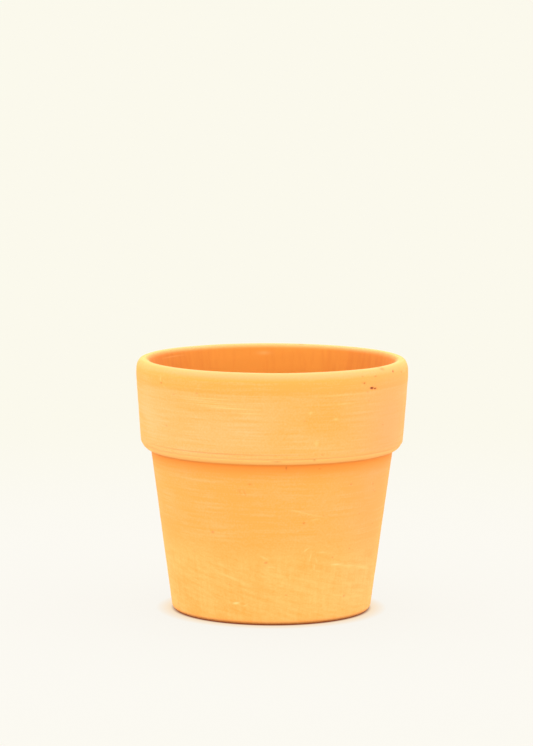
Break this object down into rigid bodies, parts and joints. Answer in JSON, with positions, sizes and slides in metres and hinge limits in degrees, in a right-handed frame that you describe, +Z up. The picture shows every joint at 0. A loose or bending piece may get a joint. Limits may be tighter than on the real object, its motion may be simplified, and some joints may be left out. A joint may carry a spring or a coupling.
{
  "type": "plant pot",
  "caption": "Tapered unglazed clay plant pot with a tall collar, rounded rim, foot ring and a drain hole in the floor.",
  "frame": {"origin": "middle of the foot, on the surface that the pot stands on", "axes": "+Z up along the pot's axis of symmetry, out of the mouth; X and Y are level and alike, because the pot is round"},
  "size_m": [0.13, 0.13, 0.121],
  "materials": {
    "fired_clay": "matte"
  },
  "bodies": {
    "root": {"pot": "fired_clay"}
  },
  "joints": []
}
